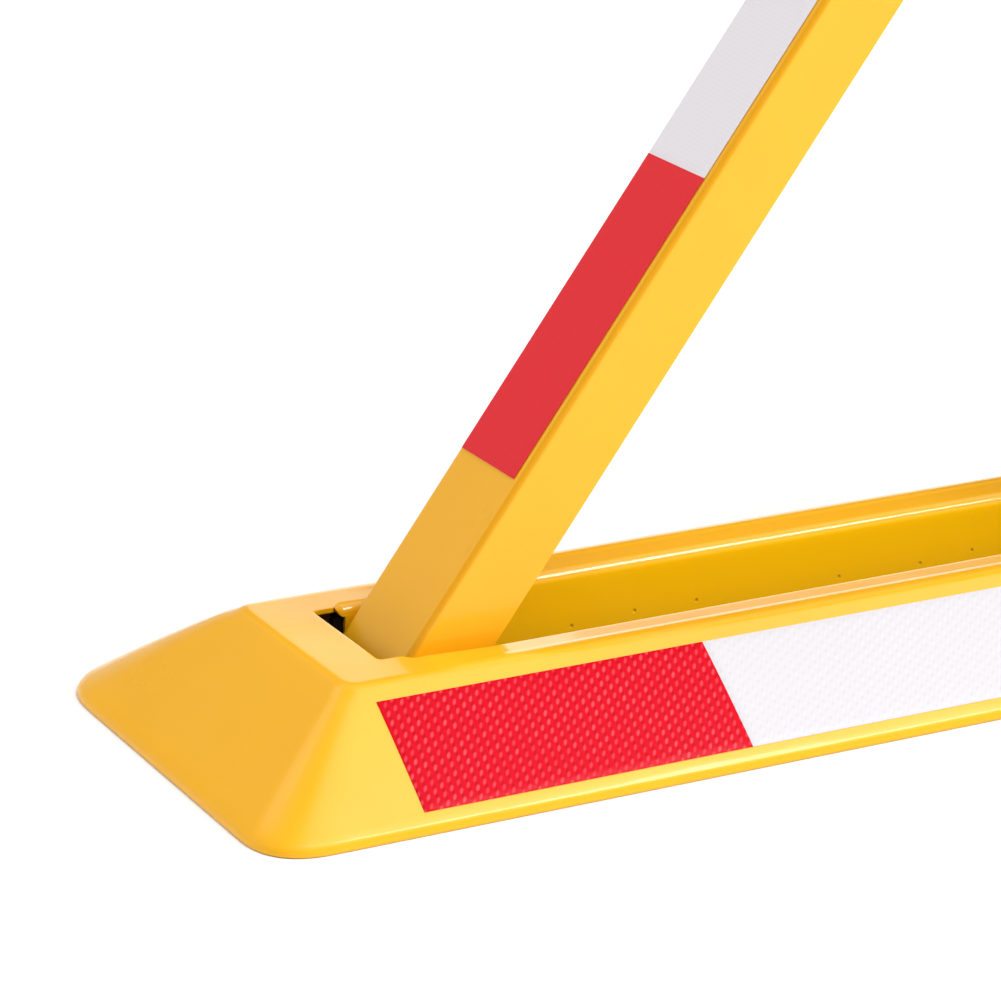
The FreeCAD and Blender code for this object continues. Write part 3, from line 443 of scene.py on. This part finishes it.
def painted_bend_shade(n, colour, bend_out):
    """Painted shade along an arm's bends, whose web faces bend_out: a darker colour where the bends
    turn away from the light.
    """
    facing = n.dot(n.add("ShaderNodeTexCoord").outputs["Normal"], bend_out)
    leaving_side = n.remap(facing, 0.05, 0.35, smooth=True)
    nearing_web = n.remap(facing, 0.995, 0.9, smooth=True)
    bend = n.math("MULTIPLY", leaving_side, nearing_web)
    # Painted shade on the bends.
    return n.mix(n.math("MULTIPLY", bend, 0.85), colour, BEND_SHADE)


def powder_coat(name, roughness, coat, trough=False, bend_out=None):
    """Glossy paint on sheet steel: faint colour drift and smudges, orange peel and a clear top. The
    pan has a trough, with painted bounce light inside it and painted shade in its dimples, and its
    foot is duller. An arm's web faces bend_out, and its bends get painted shade."""
    n = Nodes(name)
    place = n.place()
    colour = n.mix(n.remap(n.noise(place, 9.0, 3.0, 0.6), 0.3, 0.7), PAINT_DEEP, PAINT_LIGHT)
    smudge = n.remap(n.noise(place, 38.0, 4.0, 0.65), 0.62, 0.80, 0.0, 0.35, smooth=True)
    colour = n.mix(smudge, colour, [c * 0.80 for c in PAINT_DEEP])
    peel = n.noise(place, 420.0, 2.0)
    wave = n.noise(place, 30.0, 1.0)
    height = n.math("ADD", n.math("MULTIPLY", peel, 0.00002), n.math("MULTIPLY", wave, 0.00025))
    if trough:
        colour, height = trough_painted_light_and_dimples(n, place, colour, height)
        n.link(n.remap(n.split(place)["Z"], 0.004, 0.010, 0.3 * coat, coat), "Coat Weight")
    if bend_out:
        colour = painted_bend_shade(n, colour, bend_out)
    n.link(colour, "Base Color")
    patches = n.noise(place, 26.0, 3.0)
    n.link(n.remap(patches, 0.3, 0.7, roughness - 0.05, roughness + 0.07), "Roughness")
    n.bump(height, 1.0)
    n.set(Specular_IOR_Level=0.3, Coat_Weight=coat, Coat_Roughness=0.07, Coat_IOR=1.45)
    return n.material


def tape_pattern(name, along, up, colours, contrast, pitch):
    """Reflective tape: a staggered lattice of small leaning lit cells in coloured film. The axes give
    the place along and across the tape as shares of x, y and z. The colours are the film's, a lit
    cell's and the one between cells."""
    film, glint, dark = colours
    n = Nodes(name)
    place = n.place()
    u = n.dot(place, along)
    v = n.dot(place, up)
    pitch_u, pitch_v, skew, lean = pitch * MM, 1.136 * pitch * MM, 0.061, 0.42
    s = n.math("DIVIDE", n.math("SUBTRACT", u, n.math("MULTIPLY", v, skew)), pitch_u)
    column = n.math("FLOOR", s)
    stagger = n.math("MULTIPLY", n.math("MODULO", n.math("ABSOLUTE", column), 2.0), 0.5)
    t = n.math("ADD", n.math("DIVIDE", v, pitch_v), stagger)
    du = n.math("SUBTRACT", n.math("FRACT", s), 0.5)

    def spot(shift, wide, high):
        """A soft leaning spot in each cell, of these half sizes in pitches."""
        dv = n.math("SUBTRACT", n.math("FRACT", n.math("ADD", t, shift)), 0.5)
        x = n.math("SUBTRACT", n.math("MULTIPLY", du, pitch_u), n.math("MULTIPLY", dv, pitch_v * lean))
        y = n.math("MULTIPLY", dv, pitch_v)
        far = n.squares(n.math("DIVIDE", x, wide * pitch * MM), n.math("DIVIDE", y, high * pitch * MM))
        return n.remap(far, 0.0, 1.0, 1.0, 0.0, smooth=True)

    cell = n.add("ShaderNodeCombineXYZ", {0: column, 1: n.math("FLOOR", t)}).outputs[0]
    lottery = n.add("ShaderNodeTexWhiteNoise", {"Vector": cell}).outputs["Value"]
    patches = n.noise(place, 22.0, 2.0)
    chance = n.math("MULTIPLY", n.math("ADD", n.math("MULTIPLY", lottery, 0.5), 0.45),
                    n.math("ADD", n.math("MULTIPLY", patches, 1.5), 0.25))
    lit = n.math("MULTIPLY", n.math("MULTIPLY", spot(0.0, 0.28, 0.48), chance), contrast)
    shade = n.math("MULTIPLY", spot(0.5, 0.24, 0.37), 0.8 * contrast)
    n.link(n.mix(lit, n.mix(shade, film, dark), glint), "Base Color")
    n.bump(n.math("SUBTRACT", lit, shade), 0.00005, 0.5)
    n.set(Roughness=0.45, Specular_IOR_Level=0.05, Coat_Weight=0.02, Coat_Roughness=0.12)
    return n.material


def plated_steel(name, colour, roughness):
    """Plated or cast metal, and the black that stands in for the shade inside the pan: fine lengthwise
    grain and a cloudy tone.
    """
    n = Nodes(name)
    place = n.place()
    streaks = n.add("ShaderNodeMapping", {"Vector": place, "Scale": (60.0, 900.0, 900.0)}).outputs[0]
    grain = n.noise(streaks, 1.0, 3.0)
    cloud = n.remap(n.noise(place, 120.0, 2.0), 0.3, 0.7)
    n.link(n.mix(cloud, [c * 0.82 for c in colour], colour), "Base Color")
    n.link(n.remap(grain, 0.0, 1.0, roughness - 0.08, roughness + 0.12), "Roughness")
    n.bump(grain, 0.00002)
    n.set(Metallic=1.0)
    return n.material


def moulded(name, colour, roughness, grain_scale, depth):
    """Rubber, nylon and black plastic: a fine moulded grain and a slightly dusty surface."""
    n = Nodes(name)
    place = n.place()
    grain = n.noise(place, grain_scale, 3.0)
    dust = n.noise(place, 45.0, 3.0)
    dusty = [min(1, c * 1.35 + 0.01) for c in colour]
    n.link(n.mix(n.remap(dust, 0.35, 0.75), colour, dusty), "Base Color")
    n.link(n.remap(dust, 0.0, 1.0, roughness - 0.06, roughness + 0.1), "Roughness")
    n.bump(grain, depth)
    return n.material


ALONG_BASE = (1.0, 0.0, 0.0)
UP_SLOPE = (0.0, 0.0, 1 / math.sin(math.atan2(HEIGHT - LIP, SIDE_RUN)))
LEFT_ALONG = (math.cos(ARM_ANGLE), 0.0, math.sin(ARM_ANGLE))
RIGHT_ALONG = (-math.cos(ARM_ANGLE), 0.0, math.sin(ARM_ANGLE))
LEFT_OUT = (-math.sin(ARM_ANGLE), 0.0, math.cos(ARM_ANGLE))
RIGHT_OUT = (math.sin(ARM_ANGLE), 0.0, math.cos(ARM_ANGLE))
ACROSS = (0.0, 1.0, 0.0)

# Each tape's film, lit cell and gap between cells.
RED = ((0.57, 0.0, 0.011), (0.70, 0.07, 0.095), (0.42, 0.0, 0.006))
WHITE = ((0.60, 0.59, 0.62), (0.66, 0.65, 0.68), (0.52, 0.51, 0.54))
ARM_RED = ((0.72, 0.034, 0.043), *RED[1:])
ARM_WHITE = ((0.76, 0.72, 0.75), *WHITE[1:])
BASE_PITCH, ARM_PITCH, ARM_CONTRAST = 3.76, 1.9, 0.2

yellow_pan = powder_coat("yellow_powder_coat", 0.32, 0.5, trough=True)
left_coat = powder_coat("left_arm_coat", 0.35, 0.4, bend_out=LEFT_OUT)
right_coat = powder_coat("right_arm_coat", 0.35, 0.4, bend_out=RIGHT_OUT)
base_red = tape_pattern("base_tape_red", ALONG_BASE, UP_SLOPE, RED, 1.0, BASE_PITCH)
base_white = tape_pattern("base_tape_white", ALONG_BASE, UP_SLOPE, WHITE, 0.5, BASE_PITCH)
left_red, left_white, right_red, right_white = (
    tape_pattern(f"{side}_tape_{name}", along, ACROSS, colours, ARM_CONTRAST, ARM_PITCH)
    for side, along in (("left", LEFT_ALONG), ("right", RIGHT_ALONG))
    for name, colours in (("red", ARM_RED), ("white", ARM_WHITE)))
zinc = plated_steel("zinc_plate", (0.60, 0.61, 0.63), 0.34)
cast = plated_steel("cast_zinc", (0.46, 0.46, 0.48), 0.5)
brass = plated_steel("lock_brass", (0.80, 0.58, 0.25), 0.28)
black = moulded("black_plastic", (0.02, 0.02, 0.021), 0.5, 900.0, 0.00004)
nylon = moulded("nylon", (0.78, 0.76, 0.70), 0.45, 500.0, 0.00002)
rubber = moulded("rubber", (0.022, 0.022, 0.022), 0.8, 1500.0, 0.00006)
# Painted shade: the floor channel, pivot doublers and gussets are black to stand in for the deep shade
# inside the pan.
shade_black = plated_steel("black_primer", (0.035, 0.034, 0.033), 0.6)

NODE_MATERIALS = {
    # The parts inside the pan get the black painted shade.
    shade_black: ["floor_channel", "pivot_doublers", "support_gussets"],
    left_coat: ["left_arm"],
    right_coat: ["right_arm"],
    zinc: ["left_pivot_bolt", "right_pivot_bolt", "pivot_nuts", "pivot_washers",
           "left_pivot_sleeve", "right_pivot_sleeve", "lock_bolt", "lock_cover", "lock_screws",
           "lock_rivets"],
    cast: ["lock_housing"],
    brass: ["lock_barrel", "lock_plug"],
    black: ["left_arm_end_cap"],
    nylon: ["left_arm_spacers", "right_arm_spacers"],
    rubber: ["rest_pads"],
}
for material, names in NODE_MATERIALS.items():
    for name in names:
        nodes[name].data.materials.clear()
        nodes[name].data.materials.append(material)

# ---- the visual pieces -------------------------------------------------------------------------

cover = pan_cover(yellow_pan)
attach(cover, "base")
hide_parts("base_pan")

for side_name, side in (("near", -1), ("far", 1)):
    for colour, material, places in (("red", base_red, (0, 2)), ("white", base_white, (1, 3))):
        starts = [TAPE_START + TAPE_LENGTH * k for k in places]
        strip = slope_tape(f"{side_name}_slope_tape_{colour}", side, starts, TAPE_LENGTH, material)
        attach(strip, "base")
        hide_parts(f"{side_name}_tape_{colour}")

# Each arm's pivot, directions, side of its own left, height of its web face above the pivot line,
# angle by which its tape wraps onto the bend, and tape materials.
ARMS = {
    "left_arm": (-PIVOT_X, LEFT_ALONG, LEFT_OUT, 1, 16.9, math.radians(28), left_red, left_white),
    "right_arm": (PIVOT_X, RIGHT_ALONG, RIGHT_OUT, -1, 20.2, 0.0, right_red, right_white),
}
for arm, (pivot, along, out, side, level, wrap, red, white) in ARMS.items():
    for index, (colour, material) in enumerate((("red", red), ("white", white))):
        start = ARM_TAPE_START + index * ARM_TAPE_LENGTH
        strip = arm_tape(f"{arm}_strip_{colour}", Vector((pivot, 0, PIVOT_Z)), Vector(along),
                         Vector(out), side, start, level, wrap, material)
        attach(strip, arm)
        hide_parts(f"{arm}_tape_{colour}")

# ---- stage, light and camera -------------------------------------------------------------------

AIM = Vector((-0.280, 0, 0.030))
SLOPE_AIM = Vector((-0.33, 0, 0.044))
BASE_GLOW = 0.66

# The studio's panels: direction of the middle, inner and outer edge in degrees and what each adds
# to the glow. The note says what mirrors it, seen from the camera.
PANELS = [
    ((0.40, -0.10, 0.91), 14, 30, 1.3),  # near slope and its ridge
    ((-0.22, 0.60, 0.77), 4, 12, 1.1),  # ridge above the left end slope
    ((-0.10, 0.10, 0.98), 6, 18, -0.5),  # upper part of the near left corner
    ((-0.66, -0.57, 0.45), 15, 50, -0.4),  # foot of the near left corner
    ((0.46, 0.77, 0.48), 13, 23, -0.64),  # far rail
    ((-0.14, 0.82, 0.56), 9, 22, -0.3),  # left end slope
    ((0.48, 0.87, 0.12), 5, 10, 1.4),  # near rail
]


def floor():
    n = Nodes("studio_floor")
    drift = n.remap(n.noise(n.place(), 1.5, 2.0), 0.3, 0.7)
    n.link(n.mix(drift, (0.94, 0.94, 0.94), (0.96, 0.96, 0.96)), "Base Color")
    n.set(Roughness=0.9)
    size, z = 6000, -0.5
    plane = make_object("studio_floor", [(-size, -size, z), (size, -size, z), (size, size, z),
                                         (-size, size, z)], [(0, 1, 2, 3)], n.material)


def area_light(name, direction, distance, size, power, seen_in, aim=AIM):
    """A square softbox in a direction from the object, lighting only its body or only its gloss."""
    data = bpy.data.lights.new(name, "AREA")
    data.size = size
    data.energy = power
    light = bpy.data.objects.new(name, data)
    towards = Vector(direction).normalized()
    light.location = aim + towards * distance
    light.rotation_euler = towards.to_track_quat("Z", "Y").to_euler()
    light.visible_glossy = seen_in == "gloss"
    light.visible_diffuse = seen_in == "body"
    scene.collection.objects.link(light)


def sky():
    """A pale studio: an even glow with brighter and dimmer panels."""
    world = bpy.data.worlds.new("studio")
    world.use_nodes = True
    tree = world.node_tree
    place = tree.nodes.new("ShaderNodeTexCoord").outputs["Generated"]
    total = None
    for direction, inner, outer, strength in PANELS:
        facing = tree.nodes.new("ShaderNodeVectorMath")
        facing.operation = "DOT_PRODUCT"
        facing.inputs[1].default_value = Vector(direction).normalized()
        tree.links.new(place, facing.inputs[0])
        edge = tree.nodes.new("ShaderNodeMapRange")
        edge.interpolation_type = "SMOOTHSTEP"
        for key, value in (("From Min", math.cos(math.radians(outer))), ("To Min", 0.0),
                           ("From Max", math.cos(math.radians(inner))), ("To Max", strength)):
            edge.inputs[key].default_value = value
        tree.links.new(facing.outputs["Value"], edge.inputs["Value"])
        add = tree.nodes.new("ShaderNodeMath")
        add.operation = "ADD"
        tree.links.new(edge.outputs[0], add.inputs[0])
        if total:
            tree.links.new(total, add.inputs[1])
        else:
            add.inputs[1].default_value = BASE_GLOW
        total = add.outputs[0]
    background = tree.nodes["Background"]
    background.inputs["Color"].default_value = (1, 1, 1, 1)
    tree.links.new(total, background.inputs["Strength"])
    scene.world = world


def camera():
    """The viewing angle: a long lens from the left and a little above, slightly rolled, placed so
    that the object's right part falls outside the picture."""
    azimuth, elevation, roll = (math.radians(a) for a in (-29.54, 19.59, 1.56))
    distance, shift_right, shift_up = 1.72627, 0.05364, 0.06762
    back = Vector((math.sin(azimuth) * math.cos(elevation), -math.cos(azimuth) * math.cos(elevation),
                   math.sin(elevation)))
    level_right = Vector((math.cos(azimuth), math.sin(azimuth), 0))
    level_up = back.cross(level_right)
    right = level_right * math.cos(roll) + level_up * math.sin(roll)
    up = level_up * math.cos(roll) - level_right * math.sin(roll)
    data = bpy.data.cameras.new("camera")
    data.sensor_width = 36.0
    data.lens = 147.756084
    data.clip_start = 0.05
    view = bpy.data.objects.new("camera", data)
    view.location = AIM + right * shift_right + up * shift_up + back * distance
    view.rotation_euler = Matrix((right, up, back)).transposed().to_euler()
    scene.collection.objects.link(view)
    scene.camera = view


floor()
sky()
area_light("key", (0.70, -0.56, 0.46), 8.0, 4.4, 455, "body")
area_light("front_fill", (0.10, -0.45, 0.88), 8.0, 4.4, 225, "body")
area_light("back_fill", (-0.80, 0.40, 0.40), 4.0, 2.2, 38, "body")
area_light("end_sheen", (0.46, 0.82, 0.335), 1.0, 0.26, 0.28, "gloss", SLOPE_AIM)
area_light("roll_glint", (0.525, -0.47, 0.73), 3.0, 0.8, 50, "gloss")
area_light("corner_glint", (0.03, -0.45, 0.89), 3.0, 0.24, 12, "gloss")
camera()
scene.view_settings.view_transform = "Standard"
